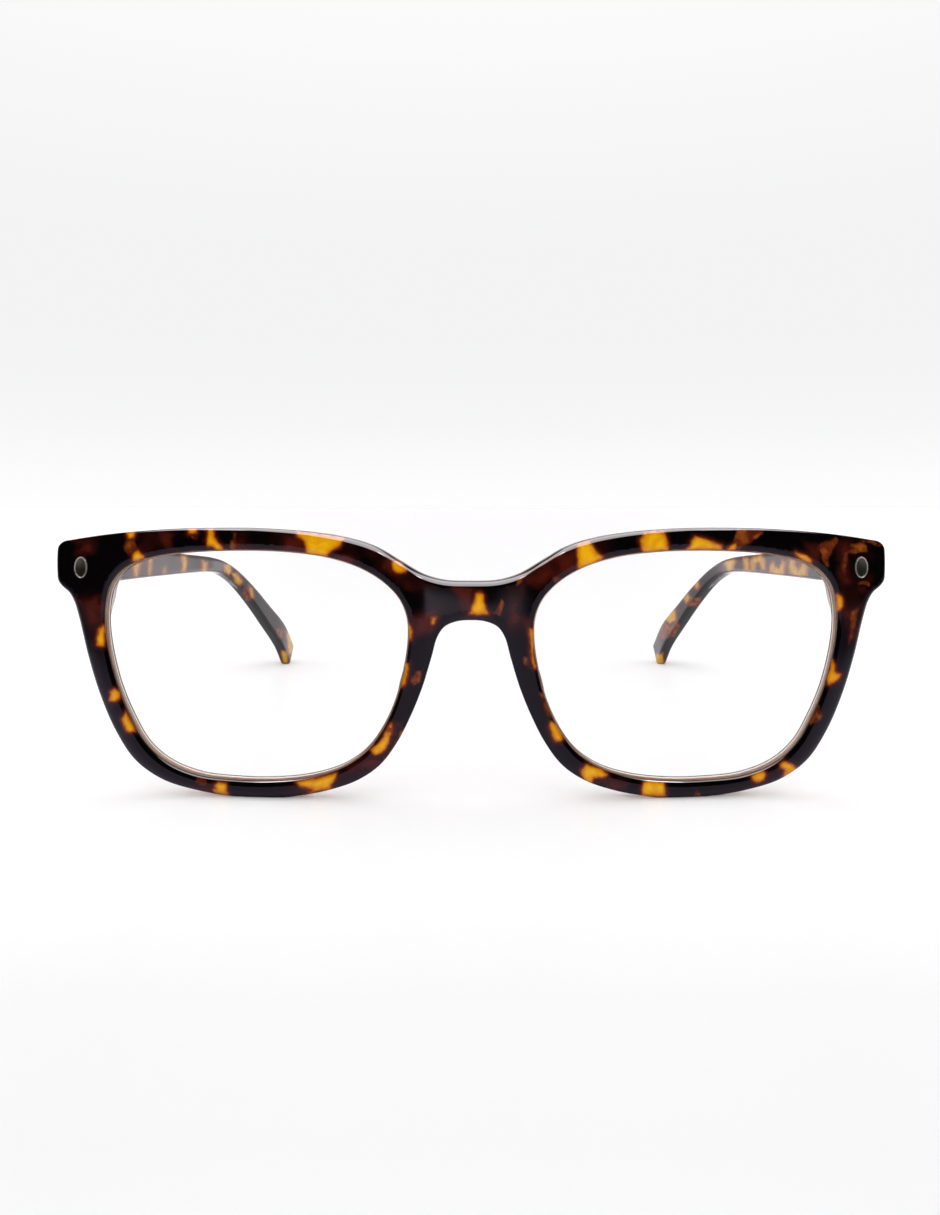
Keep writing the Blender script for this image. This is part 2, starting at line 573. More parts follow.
def worked_metal(name, pale, dark, roughness, line, stretch):
    """A metal with the fine lines of its last tool, line apart, drawn out by stretch along X, Y and Z.

    They blur its highlights one way. They are drawn a few times coarser than they are, so that they show.
    """
    made, add, place = new_finish(name)
    drawn = add("Mapping", {"Vector": place, "Scale": stretch})
    lines = add("TexNoise", {"Vector": drawn, "Scale": per(line), "Detail": 4})
    tarnish = add("TexNoise", {"Vector": place, "Scale": per(2.5 * MM), "Detail": 4, "Distortion": 0.5})
    tone = add("MapRange", [tarnish, 0.3, 0.75], **SOFT)
    colour = add("Mix", [tone, pale, dark], data_type="RGBA")
    rough = add("MapRange", [lines, 0.25, 0.75, roughness * 0.75, roughness * 1.3], **SOFT)
    bump = add("Bump", {"Strength": 0.3, "Distance": 0.01 * MM, "Height": lines})
    surface = {"Base Color": colour, "Metallic": 1, "Roughness": rough, "Normal": bump}
    add("OutputMaterial", [add("BsdfPrincipled", surface)])
    return made


FRONT_TORTOISE = tortoise_acetate("havana_acetate_front", "1c0605", ("b06406", "d09008", "dca20c"), 0)
TEMPLE_TORTOISE = tortoise_acetate("havana_acetate_temple", "301410", ("84500c", "b08018", "bc9020"), 22)
CRYSTAL_WALL = crystal_acetate("crystal_acetate_cut_wall", 0.5, True)
CRYSTAL_BACK = crystal_acetate("crystal_acetate_polished_back", 0.92, False)
CLEAR_CRYSTAL = crystal_acetate("crystal_acetate_pad", 0.8, False)
LENS = lens_resin()
LENS_EDGE = ground_edge()

# Tumbled steel gives the plaques a soft pale rim and brushed steel a dull grey face. Nickel plate is warm and
# bright. The screw shows rings from the lathe, and the wire shows lines from the die
PLAQUE_RIM_METAL = worked_metal("tumbled_steel_rim", "ecead8", "dcdac8", 0.5, 0.3 * MM, (1, 1, 1))
PLAQUE_FACE_METAL = worked_metal("brushed_steel_face", "6e7059", "5c5e4c", 0.34, 0.12 * MM, (1, 1, 8))
NICKEL_SILVER = worked_metal("nickel_plated_hinge", "c9c3b6", "aaa396", 0.24, 0.15 * MM, (1, 0.1, 1))
SCREW_STEEL = worked_metal("turned_screw_steel", "b4b4b6", "8f8f92", 0.26, 0.1 * MM, (0.1, 0.1, 1))
SPRING_STEEL = worked_metal("drawn_spring_wire", "8a8a8e", "6a6a6e", 0.3, 0.1 * MM, (1, 0.1, 1))


# Outlines


def between(a, b, knot_a, knot_b, knot):
    return a * ((knot_b - knot) / (knot_b - knot_a)) + b * ((knot - knot_a) / (knot_b - knot_a))


def on_curve(four, share):
    """A point of the centripetal curve through four points, at a share of the way from the second."""
    knots = [0.0]
    for a, b in zip(four, four[1:]):
        knots.append(knots[-1] + math.sqrt((b.xy - a.xy).length))
    knot = between(knots[1], knots[2], 0, 1, share)
    a, b, c = (between(four[i], four[i + 1], knots[i], knots[i + 1], knot) for i in range(3))
    early = between(a, b, knots[0], knots[2], knot)
    late = between(b, c, knots[1], knots[3], knot)
    return between(early, late, knots[1], knots[2], knot)


def smooth_loop(points):
    count = len(points)
    loop = []
    for i in range(count):
        four = [points[(i + k - 1) % count] for k in range(4)]
        steps = max(2, math.ceil((four[2].xy - four[1].xy).length / OUTLINE_SPACING))
        loop += [on_curve(four, step / steps) for step in range(steps)]
    return loop


def inward_normals(loop):
    """Unit vectors to the left of the way round, where the acetate is."""
    normals = []
    for before, after in zip(loop[-1:] + loop[:-1], loop[1:] + loop[:1]):
        along = (after.xy - before.xy).normalized()
        normals.append(Vector((-along.y, along.x)))
    return normals


def front_outline():
    """Points across and up, each with its bevel's width and depth."""
    half = [
        Vector((across(a), up(b), OUTER_BEVEL_WIDTH * w, OUTER_BEVEL_DEPTH * d))
        for a, b, w, d in OUTLINE_SHARES
    ]
    other = [Vector((-p.x, *p[1:])) for p in half[-2:0:-1]]
    return smooth_loop((half + other)[::-1])


def opening_outline(sign):
    points = [
        Vector((sign * across(a), up(b), OPENING_BEVEL_WIDTH * w, OPENING_BEVEL_DEPTH))
        for a, b, w in OPENING_SHARES
    ]
    return smooth_loop(points[::sign])


def lens_middle(x, z):
    """Depth of the middle of the lens's thickness."""
    centre_x = across(1.5)
    off_x = abs(x) - centre_x
    off_z = z - up(1.5)
    curve = (1 / LENS_FRONT_RADIUS + 1 / LENS_BACK_RADIUS) / 4
    return wrap(centre_x) + LENS_SETBACK + off_x * centre_x / WRAP_RADIUS + curve * (off_x**2 + off_z**2)


# Mesh work


def ring_at(shape, loop, offset, depth):
    """A ring of vertices moved into the acetate by offset(point), at depth(point, x, z)."""
    ring = []
    for point, normal in zip(loop, inward_normals(loop)):
        flat = point.xy + normal * offset(point)
        x, z = flat.x, max(flat.y, 0)
        ring.append(shape.verts.new((x, FACE_Y + depth(point, x, z), z)))
    return ring


def bridge_rings(shape, rings):
    """Quads between rings of as many vertices each."""
    for low, high in zip(rings, rings[1:]):
        for i, start in enumerate(low):
            j = (i + 1) % len(low)
            shape.faces.new((start, low[j], high[j], high[i]))


def grid_inside(rings, spacing):
    """Points of a triangular grid inside the first ring, outside the others, and clear of them all."""
    edges = []
    for ring in rings:
        flat = np.array([(v.co.x, v.co.z) for v in ring])
        edges.append(np.hstack([flat, np.roll(flat, -1, 0)]))
    edges = np.vstack(edges)
    low = edges[:, :2].min(0)
    high = edges[:, :2].max(0)
    rise = spacing * math.sqrt(3) / 2
    rows = []
    for k in range(1, int((high[1] - low[1]) / rise) + 1):
        z = low[1] + k * rise
        x = np.arange(low[0] + spacing * (k % 2) / 2, high[0], spacing)
        cut = edges[(edges[:, 1] > z) != (edges[:, 3] > z)]
        at = cut[:, 0] + (z - cut[:, 1]) * (cut[:, 2] - cut[:, 0]) / (cut[:, 3] - cut[:, 1])
        inside = (x[:, None] < at[None, :]).sum(1) % 2 == 1
        row = np.column_stack([x[inside], np.full(inside.sum(), z)])
        near = np.hypot(row[:, None, 0] - edges[None, :, 0], row[:, None, 1] - edges[None, :, 1]).min(1)
        rows.append(row[near > spacing * GRID_CLEAR_SHARE])
    return np.vstack(rows)


def fill_between(shape, outer, holes, depth, spacing):
    """Small triangles inside the outer ring and outside the holes, at depth(x, z)."""
    flat = list(outer)
    faces = [list(range(len(flat)))]
    for hole in holes:
        faces.append(list(range(len(flat), len(flat) + len(hole)))[::-1])
        flat += hole
    for x, z in grid_inside([outer, *holes], spacing):
        flat.append(shape.verts.new((x, FACE_Y + depth(x, z), z)))
    spread = [Vector((v.co.x / MM, v.co.z / MM)) for v in flat]
    _, _, triangles, sources, _, regions = delaunay_2d_cdt(spread, [], faces, 1, SAME_PLACE / MM)
    for corners, region in zip(triangles, regions):
        if list(region) == [0]:
            shape.faces.new([flat[sources[corner][0]] for corner in corners])


def mirrored(shape, sign):
    """Turns a left-side shape into its mirror image where sign is -1."""
    bmesh.ops.scale(shape, vec=(sign, 1, 1), verts=shape.verts)


def as_object(name, shape, looks=()):
    """A linked object with the bmesh's faces, turned outwards."""
    bmesh.ops.recalc_face_normals(shape, faces=shape.faces)
    mesh = bpy.data.meshes.new(name)
    shape.to_mesh(mesh)
    shape.free()
    for look in looks:
        mesh.materials.append(look)
    made = bpy.data.objects.new(name, mesh)
    bpy.context.scene.collection.objects.link(made)
    return made


def cut_from(piece, cutters):
    """Takes the cutters' shapes out of a piece and leaves a plain mesh."""
    for cutter in cutters:
        change = piece.modifiers.new("cut", "BOOLEAN")
        change.operation = "DIFFERENCE"
        change.object = cutter
    graph = bpy.context.evaluated_depsgraph_get()
    whole = piece.data
    piece.data = bpy.data.meshes.new_from_object(piece.evaluated_get(graph))
    piece.modifiers.clear()
    bpy.data.meshes.remove(whole)
    for cutter in cutters:
        bpy.data.objects.remove(cutter)


def finished(name, shape, looks, body, stands_for, crease=180, cutters=()):
    """A piece that rides on its body, with creases where its faces meet at more than crease degrees."""
    made = as_object(name, shape, looks)
    if cutters:
        cut_from(made, cutters)
    made.data.shade_smooth()
    made.data.set_sharp_from_angle(angle=math.radians(crease))
    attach(made, body)
    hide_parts(stands_for)
    return made


# The front: tortoise in front, crystal behind, bonded in one sheet


def bevelled_edge(is_opening):
    """The tortoise layer's edge from its face to the bond: how far in and how deep each ring lies."""
    for share in BEVEL_STEPS:
        rest = 1 - share
        inward = rest * rest + 2 * share * rest * BEVEL_PULL[0]
        sunk = 2 * share * rest * BEVEL_PULL[1] + share * share
        yield lambda point: point.z * inward, lambda point, x, z: wrap(x) + point.w * sunk
    bond = OPENING_TORTOISE_DEPTH if is_opening else TORTOISE_DEPTH
    yield lambda point: 0, lambda point, x, z: wrap(x) + bond


def rounded_edge(is_opening):
    """The crystal layer's edge from inside the bond, past the lens, to its rounded back."""
    start = (OPENING_TORTOISE_DEPTH if is_opening else TORTOISE_DEPTH) - LAYER_OVERLAP
    radius = OPENING_REAR_ROUND if is_opening else REAR_ROUND
    yield lambda point: 0, lambda point, x, z: wrap(x) + start
    if is_opening:
        yield lambda point: 0, lambda point, x, z: max(
            lens_middle(x, z) + GROOVE_WIDTH / 2, wrap(x) + OPENING_TORTOISE_DEPTH
        )
    for share in ROUND_STEPS:
        angle = share * math.pi / 2
        inward = radius * (1 - math.cos(angle))
        back = radius * (1 - math.sin(angle))
        yield lambda point: inward, lambda point, x, z: rear(x, z) - back


def front_layer(name, looks, edge, face, back, seats):
    """One layer of the front: walls round its outline and openings, and its face and back, less the seats.

    face and back are each a depth at (x, z) and the spacing of the points there.
    """
    shape = bmesh.new()
    stacks = []
    for loop in (front_outline(), *(opening_outline(sign) for sign in SIDES.values())):
        stacks.append([ring_at(shape, loop, *step) for step in edge(is_opening=bool(stacks))])
        bridge_rings(shape, stacks[-1])
    for end, (depth, spacing) in ((0, face), (-1, back)):
        before_back = len(shape.faces)
        outer, *holes = (rings[end] for rings in stacks)
        fill_between(shape, outer, holes, depth, spacing)
    shape.faces.ensure_lookup_table()
    for back_face in shape.faces[before_back:]:
        back_face.material_index = len(looks) - 1
    return finished(name, shape, looks, "front", "frame_front", 40, seats)


def make_lens(side, sign):
    """A meniscus with polished faces and a ground V bevel round its edge."""
    edge = opening_outline(sign)
    sides = inward_normals(edge)
    centre = Vector((sign * across(1.5), up(1.5)))
    shape = bmesh.new()
    across_edge = shape.verts.layers.float.new("across_edge")
    shoulder = [point.xy - normal * LENS_SHOULDER for point, normal in zip(edge, sides)]
    stacks = []
    for radius, half in ((LENS_FRONT_RADIUS, -LENS_THICKNESS / 2), (LENS_BACK_RADIUS, LENS_THICKNESS / 2)):

        def on_face(flat):
            off_x = abs(flat.x) - abs(centre.x)
            bow = (off_x**2 + (flat.y - centre.y) ** 2) / (2 * radius)
            depth = wrap(centre.x) + LENS_SETBACK + half + off_x * across(1.5) / WRAP_RADIUS + bow
            return shape.verts.new((flat.x, FACE_Y + depth, flat.y))

        rings = [
            [on_face(centre + (point - centre) * share) for point in shoulder] for share in LENS_RING_SHARES
        ]
        middle = on_face(centre)
        for i, start in enumerate(rings[0]):
            shape.faces.new((middle, start, rings[0][(i + 1) % len(rings[0])]))
        stacks.append(rings)
    apex = []
    for point, normal in zip(edge, sides):
        flat = point.xy + normal * LENS_BEVEL_REACH
        apex.append(shape.verts.new((flat.x, FACE_Y + lens_middle(flat.x, flat.y), flat.y)))
        apex[-1][across_edge] = 0.5
    for vertex in stacks[1][-1]:
        vertex[across_edge] = 1
    for rings in stacks:
        bridge_rings(shape, rings)
    polished = len(shape.faces)
    bridge_rings(shape, [stacks[0][-1], apex, stacks[1][-1]])
    shape.faces.ensure_lookup_table()
    for face in shape.faces[polished:]:
        face.material_index = 1
    looks = [LENS, LENS_EDGE]
    piece = finished(f"lens_{side}_resin", shape, looks, "front", f"lens_{side}", 35)
    piece.visible_shadow = False


def make_pad(side, sign):
    """A rounded acetate lug, flat where it is bonded to the nasal rim."""
    centre = Vector((across(PAD_PLACE[0]), 0, up(PAD_PLACE[1])))
    centre.y = rear(centre.x, centre.z)
    size = Vector((PAD_WIDTH / 2, PAD_STANDOFF, PAD_HEIGHT / 2))
    shape = bmesh.new()
    bmesh.ops.create_uvsphere(shape, u_segments=PAD_SIDES, v_segments=PAD_RINGS, radius=1)
    bmesh.ops.scale(shape, vec=size, verts=shape.verts)
    bmesh.ops.rotate(shape, matrix=Matrix.Rotation(-PAD_LEAN, 3, "Y"), verts=shape.verts)
    bmesh.ops.translate(shape, vec=centre, verts=shape.verts)
    seat = wrap(centre.x + PAD_WIDTH) + RIM_THICKNESS + GLUE_GAP
    cut = bmesh.ops.bisect_plane(
        shape, geom=shape.verts[:] + shape.edges[:] + shape.faces[:],
        plane_co=(0, seat, 0), plane_no=(0, -1, 0), clear_outer=True,
    )
    rim = [item for item in cut["geom_cut"] if isinstance(item, bmesh.types.BMEdge)]
    bmesh.ops.contextual_create(shape, geom=rim)
    bmesh.ops.translate(shape, vec=(0, FACE_Y, 0), verts=shape.verts)
    mirrored(shape, sign)
    name = f"nose_pad_{side}"
    finished(f"{name}_clear", shape, [CLEAR_CRYSTAL], "front", name, 50)


# Plaques, and the seats let into the acetate


def oval_stack(steps, sign):
    """A closed oval in steps of (inset, depth), square to the end piece's face."""
    shape = bmesh.new()
    rings = []
    for inset, depth in steps:
        ring = []
        for k in range(OVAL_SIDES):
            angle = 2 * math.pi * k / OVAL_SIDES
            x = (PLAQUE_WIDTH / 2 - inset) * math.cos(angle)
            z = (PLAQUE_HEIGHT / 2 - inset) * math.sin(angle)
            ring.append(shape.verts.new((x, depth, z)))
        rings.append(ring)
    bridge_rings(shape, rings)
    shape.faces.new(rings[0])
    shape.faces.new(rings[-1][::-1])
    x = across(PLAQUE_PLACE[0])
    turn = Matrix.Rotation(math.asin(x / WRAP_RADIUS), 3, "Z")
    bmesh.ops.rotate(shape, matrix=turn, verts=shape.verts)
    bmesh.ops.translate(shape, vec=(x, FACE_Y + wrap(x), up(PLAQUE_PLACE[1])), verts=shape.verts)
    mirrored(shape, sign)
    return shape


def make_plaque(side, sign):
    """An oval plate with a raised pale rim round a brushed face."""
    top = -PLAQUE_PROUD
    soft = PLAQUE_RIM / 4
    steps = (
        (PLAQUE_RIM, top + PLAQUE_DISH), (PLAQUE_RIM - soft, top + soft / 2), (PLAQUE_RIM - 2 * soft, top),
        (soft, top), (soft / 4, top + soft / 3), (0, top + soft), (0, top + PLAQUE_THICKNESS),
    )
    shape = oval_stack(steps, sign)
    shape.faces.ensure_lookup_table()
    shape.faces[-2].material_index = 1
    looks = [PLAQUE_RIM_METAL, PLAQUE_FACE_METAL]
    finished(f"plaque_{side}_rimmed", shape, looks, "front", f"plaque_{side}", 40)


def plaque_seat(sign):
    floor = PLAQUE_THICKNESS - PLAQUE_PROUD + GLUE_GAP
    return as_object("seat", oval_stack(((-GLUE_GAP, -OVERRUN), (-GLUE_GAP, floor)), sign))


def block_between(low, high, sign):
    """A box from its left-side corners, mirrored for the side that sign names."""
    shape = bmesh.new()
    bmesh.ops.create_cube(shape, size=1)
    bmesh.ops.scale(shape, vec=high - low, verts=shape.verts)
    bmesh.ops.translate(shape, vec=(low + high) / 2, verts=shape.verts)
    mirrored(shape, sign)
    return as_object("seat", shape)


def with_gap(node):
    """The corners of a node's box, grown by the gap that its glue fills."""
    low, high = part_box(node)
    gap = Vector((GLUE_GAP, GLUE_GAP, GLUE_GAP))
    return low - gap, high + gap


def leaf_seat(sign):
    low, high = with_gap("front_leaf_left")
    high.y = FACE_Y + END_REAR + OVERRUN
    return block_between(low, high, sign)


# Temples


def temple_stations():
    """Points (along, level) with inset, height and thickness, on a smooth line from butt to tip."""
    line = [Vector((TEMPLE_REACH * s[0], PIN.z * s[1], TIP_INSET * s[2])) for s in TEMPLE_SHARES]
    girth = [
        Vector((TEMPLE_REACH * s[0], TEMPLE_HEIGHT * s[3], TEMPLE_THICKNESS * s[4]))
        for s in TEMPLE_SHARES
    ]
    places = []
    for points in (line, girth):
        ends = [2 * points[0] - points[1], *points, 2 * points[-1] - points[-2]]
        row = []
        for i in range(len(points) - 1):
            steps = math.ceil((line[i + 1].xy - line[i].xy).length / TEMPLE_SPACING)
            row += [on_curve(ends[i : i + 4], step / steps) for step in range(steps)]
        places.append(row + [points[-1]])
    return list(zip(*places))


def rounded_section(width, height):
    """A rectangle with rounded corners and points along its sides, round its middle."""
    edge_round = min(TEMPLE_EDGE_ROUND, width / 3)
    section = []
    for quarter, (a, b) in enumerate(((1, 1), (-1, 1), (-1, -1), (1, -1))):
        centre = Vector((a * (width / 2 - edge_round), b * (height / 2 - edge_round)))
        corner = []
        for step in range(CORNER_STEPS + 1):
            angle = (quarter + step / CORNER_STEPS) * math.pi / 2
            corner.append(centre + edge_round * Vector((math.cos(angle), math.sin(angle))))
        section.append(corner)
    points = []
    for corner, following in zip(section, section[1:] + section[:1]):
        run = following[0] - corner[-1]
        steps = SHORT_SIDE_STEPS if abs(run.x) > abs(run.y) else LONG_SIDE_STEPS
        points += corner + [corner[-1].lerp(following[0], k / steps) for k in range(1, steps)]
    return points


def temple_shape():
    stations = temple_stations()
    sections = []
    for i, (line, girth) in enumerate(stations):
        before = stations[max(i - 1, 0)][0]
        after = stations[min(i + 1, len(stations) - 1)][0]
        along = (after.xy - before.xy).normalized() if i else Vector((1, 0))
        centre = Vector((TEMPLE_INNER_X - line.z + girth.z / 2, FACE_Y + TEMPLE_FRONT + line.x, line.y))
        sections.append((centre, along, girth.y, girth.z))
    centre, along, height, thickness = sections[-1]
    for step in range(1, TIP_STEPS + 1):
        angle = step * math.pi / 2 / TIP_STEPS
        shrink = 2 * TIP_ROUND * (1 - math.cos(angle))
        shift = Vector((0, *along)) * TIP_ROUND * math.sin(angle)
        sections.append((centre + shift, along, height - shrink, thickness - shrink / 2))
    shape = bmesh.new()
    rings = []
    for centre, along, height, thickness in sections:
        ring = []
        for a, b in rounded_section(thickness, height):
            place = centre + Vector((a, -along.y * b, along.x * b))
            ring.append(shape.verts.new((place.x, place.y, max(place.z, 0))))
        rings.append(ring)
    bridge_rings(shape, rings)
    shape.faces.new(rings[0])
    shape.faces.new(rings[-1][::-1])
    return shape


def make_temple(side, sign):
    """The temple, with room for its spring box and for the hinge's ears at its butt."""
    shape = temple_shape()
    mirrored(shape, sign)
    box_low, box_high = with_gap("spring_box_left")
    box_low.x = TEMPLE_INNER_X - OVERRUN
    box_low.y = FACE_Y + TEMPLE_FRONT - OVERRUN
    ears_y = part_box("front_leaf_left")[1].y + GLUE_GAP
    ears_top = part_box("hinge_screw_left")[1].z + BUTT_GAP
    ears_low = Vector((box_low.x, box_low.y, 2 * PIN.z - ears_top))
    ears_high = Vector((box_high.x, ears_y, ears_top))
    seats = [block_between(box_low, box_high, sign), block_between(ears_low, ears_high, sign)]
    name = f"temple_{side}"
    return finished(f"{name}_acetate", shape, [TEMPLE_TORTOISE], name, name, 40, seats)


# The spring in each hinge box


def winding_nodes():
    """A tree that winds a round wire into a coil, with its sizes as inputs."""
    tree = bpy.data.node_groups.new("spring_winding", "GeometryNodeTree")
    for label in ("Turns", "Steps", "Coil Radius", "Length", "Wire Radius"):
        kind = "NodeSocketInt" if label == "Steps" else "NodeSocketFloat"
        tree.interface.new_socket(label, in_out="INPUT", socket_type=kind)
    tree.interface.new_socket("Spring", in_out="OUTPUT", socket_type="NodeSocketGeometry")
    add = partial(add_node, tree, "GeometryNode")
    sizes = add_node(tree, "Node", "GroupInput").outputs
    spiral = {
        "Resolution": sizes["Steps"], "Rotations": sizes["Turns"], "Height": sizes["Length"],
        "Start Radius": sizes["Coil Radius"], "End Radius": sizes["Coil Radius"],
    }
    path = add("CurveSpiral", spiral)
    wire = add("CurvePrimitiveCircle", {"Resolution": SPRING_WIRE_SIDES, "Radius": sizes["Wire Radius"]})
    swept = add("CurveToMesh", {"Curve": path, "Profile Curve": wire, "Fill Caps": True})
    whole = add("RealizeInstances", {"Geometry": swept})
    steel = add("SetMaterial", {"Geometry": whole, "Material": SPRING_STEEL})
    add_node(tree, "Node", "GroupOutput", {"Spring": steel})
    return tree


def wound_wire(tree, sizes):
    """The mesh that the winding tree makes at these sizes, standing on the origin."""
    former = bpy.data.objects.new("winding_former", bpy.data.meshes.new("winding_former"))
    bpy.context.scene.collection.objects.link(former)
    winding = former.modifiers.new("winding", "NODES")
    winding.node_group = tree
    for socket in tree.interface.items_tree:
        if socket.in_out == "INPUT":
            winding[socket.identifier] = sizes[socket.name]
    graph = bpy.context.evaluated_depsgraph_get()
    wound = bpy.data.meshes.new_from_object(former.evaluated_get(graph))
    shape = bmesh.new()
    shape.from_mesh(wound)
    bpy.data.objects.remove(former)
    bpy.data.meshes.remove(wound)
    return shape


def make_spring(side, sign, tree):
    """A coil round the carriage's rod, from the box's front wall to the nut.

    It shortens as the temple flexes.
    """
    name = f"flex_spring_{side}"
    low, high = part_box(name)
    middle = (low + high) / 2
    sizes = {
        "Turns": SPRING_TURNS,
        "Steps": SPRING_STEPS_PER_TURN,
        "Coil Radius": (high.x - low.x) / 2 - SPRING_WIRE_RADIUS,
        "Length": high.y - low.y - 2 * SPRING_WIRE_RADIUS,
        "Wire Radius": SPRING_WIRE_RADIUS,
    }
    shape = wound_wire(tree, sizes)
    bmesh.ops.rotate(shape, matrix=Matrix.Rotation(-math.pi / 2, 3, "X"), verts=shape.verts)
    mirrored(shape, sign)
    seat = (middle.x, low.y + SPRING_WIRE_RADIUS, middle.z)
    bmesh.ops.translate(shape, vec=seat, verts=shape.verts)
    piece = finished(f"{name}_wound", shape, [SPRING_STEEL], f"carriage_{side}", name)
    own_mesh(piece)


# Where the flakes lie


def flake_reach(places, outlines):
    """How far each place is inside the nearest outline, in millimetres, with less than nothing outside."""
    depth = places[:, 1] - (FACE_Y - EYE_DISTANCE)
    x = OPTICAL_MIDDLE[0] + FOCAL_PIXELS * (places[:, 0] - EYE_X) / depth
    y = OPTICAL_MIDDLE[1] + FOCAL_PIXELS * (EYE_Z - places[:, 2]) / depth
    best = np.full(len(places), -FLAKE_FAR)
    for outline in outlines:
        gap = np.full(len(places), np.inf)
        inside = np.zeros(len(places), bool)
        for (x0, y0), (x1, y1) in zip(outline, outline[1:] + outline[:1]):
            dx, dy = x1 - x0, y1 - y0
            share = (((x - x0) * dx + (y - y0) * dy) / (dx * dx + dy * dy)).clip(0, 1)
            gap = np.minimum(gap, np.hypot(x - x0 - share * dx, y - y0 - share * dy))
            if dy:
                inside ^= ((y0 > y) != (y1 > y)) & (x < x0 + (y - y0) * dx / dy)
        best = np.maximum(best, np.where(inside, gap, -gap) * depth / FOCAL_PIXELS / MM)
    return best


def write_field(piece, key, values):
    """Keeps a number for each vertex, for the piece's finish to read."""
    piece.data.attributes.new(key, "FLOAT", "POINT").data.foreach_set("value", values.astype(np.float32))


def lay_flakes(piece, free, **fields):
    """Writes how far each vertex is inside the flakes, and by free(places) where the free pattern shows."""
    places = np.array([v.co for v in piece.data.vertices], float)
    for key, outlines in fields.items():
        write_field(piece, key, flake_reach(places, outlines))
    write_field(piece, "free", free(places))


def out_of_view(places):
    """1 on the temple's outer half and its start, which the lenses don't show, and 0 on the rest."""
    behind = places[:, 1] - FACE_Y
    inset = np.interp(
        behind - TEMPLE_FRONT,
        [TEMPLE_REACH * s[0] for s in TEMPLE_SHARES],
        [TIP_INSET * s[2] for s in TEMPLE_SHARES],
    )
    from_inner = np.abs(places[:, 0]) - TEMPLE_INNER_X + inset
    outer = (from_inner - SEEN_THICKNESS_SHARE * TEMPLE_THICKNESS) / OUTER_BLEND
    start = (SEEN_FROM - behind) / SEEN_BLEND
    return np.maximum(outer, start).clip(0, 1)


def nowhere(places):
    """0 everywhere: the front's flakes are all laid out."""
    return np.zeros(len(places))


tortoise = front_layer(
    "front_tortoise_layer", [FRONT_TORTOISE], bevelled_edge,
    (lambda x, z: wrap(x), FACE_SPACING), (lambda x, z: wrap(x) + TORTOISE_DEPTH, BOND_SPACING),
    [plaque_seat(sign) for sign in SIDES.values()],
)
lay_flakes(tortoise, nowhere, amber=FRONT_AMBER, orange=FRONT_ORANGE, brown=FRONT_BROWN)
crystal = front_layer(
    "front_crystal_layer", [CRYSTAL_WALL, CRYSTAL_BACK], rounded_edge,
    (lambda x, z: wrap(x) + TORTOISE_DEPTH - LAYER_OVERLAP, BOND_SPACING), (rear, BACK_SPACING),
    [leaf_seat(sign) for sign in SIDES.values()],
)
depths = [(v.co.y - FACE_Y - wrap(v.co.x)) / MM for v in crystal.data.vertices]
write_field(crystal, "depth", np.array(depths))
winding = winding_nodes()
for side, sign in SIDES.items():
    make_spring(side, sign, winding)
    make_lens(side, sign)
    make_pad(side, sign)
    make_plaque(side, sign)
    temple = make_temple(side, sign)
    lay_flakes(temple, out_of_view, amber=TEMPLE_AMBER, orange=TEMPLE_ORANGE, brown=TEMPLE_AMBER)

# The metal that is carried over as it was made
CARRIED = {
    "front_leaf": NICKEL_SILVER, "hinge_screw": SCREW_STEEL, "carriage": NICKEL_SILVER,
    "spring_box": NICKEL_SILVER, "stop_nut": NICKEL_SILVER, "core_wire": SPRING_STEEL,
}
for name, look in CARRIED.items():
    for side in SIDES:
        piece = frame["nodes"][f"{name}_{side}"]
        piece.data.materials.clear()
        piece.data.materials.append(look)


# Floor, light and camera


def white_sheet():
    """White acrylic sheet with a soft sheen, which the glasses' polish mirrors dimly."""
    made, add, place = new_finish("white_acrylic_sheet")
    spot = add("SeparateXYZ", [place]).outputs
    shade = add(
        "ValToRGB", [add("MapRange", [spot["Y"], -360 * MM, -60 * MM])],
        (
            (0.2, "fcfcfd"), (0.62, "e2e2e3"), (0.69, "e2e2e3"), (0.76, "e6e6e7"), (0.84, "f1f1f2"),
            (1, "fcfcfd"),
        ),
    )
    aside = add("Math", [spot["X"]], operation="ABSOLUTE")
    in_polish = "a699b2"
    for along, start, end, colour in (
        (aside, 120 * MM, 180 * MM, "5a5262"),
        (spot["Y"], -70 * MM, -50 * MM, "e4e2e6"),
        (spot["Y"], -321 * MM, -330 * MM, "fde6fa"),
    ):
        cover = add("MapRange", [along, start, end], **SOFT)
        in_polish = add("Mix", [cover, in_polish, colour], data_type="RGBA")
    mirror = add("LightPath").outputs["Is Glossy Ray"]
    colour = add("Mix", [mirror, shade, in_polish], data_type="RGBA")
    surface = {"Base Color": colour, "Roughness": 0.32, "Specular IOR Level": 0.25}
    add("OutputMaterial", [add("BsdfPrincipled", surface)])
    return made


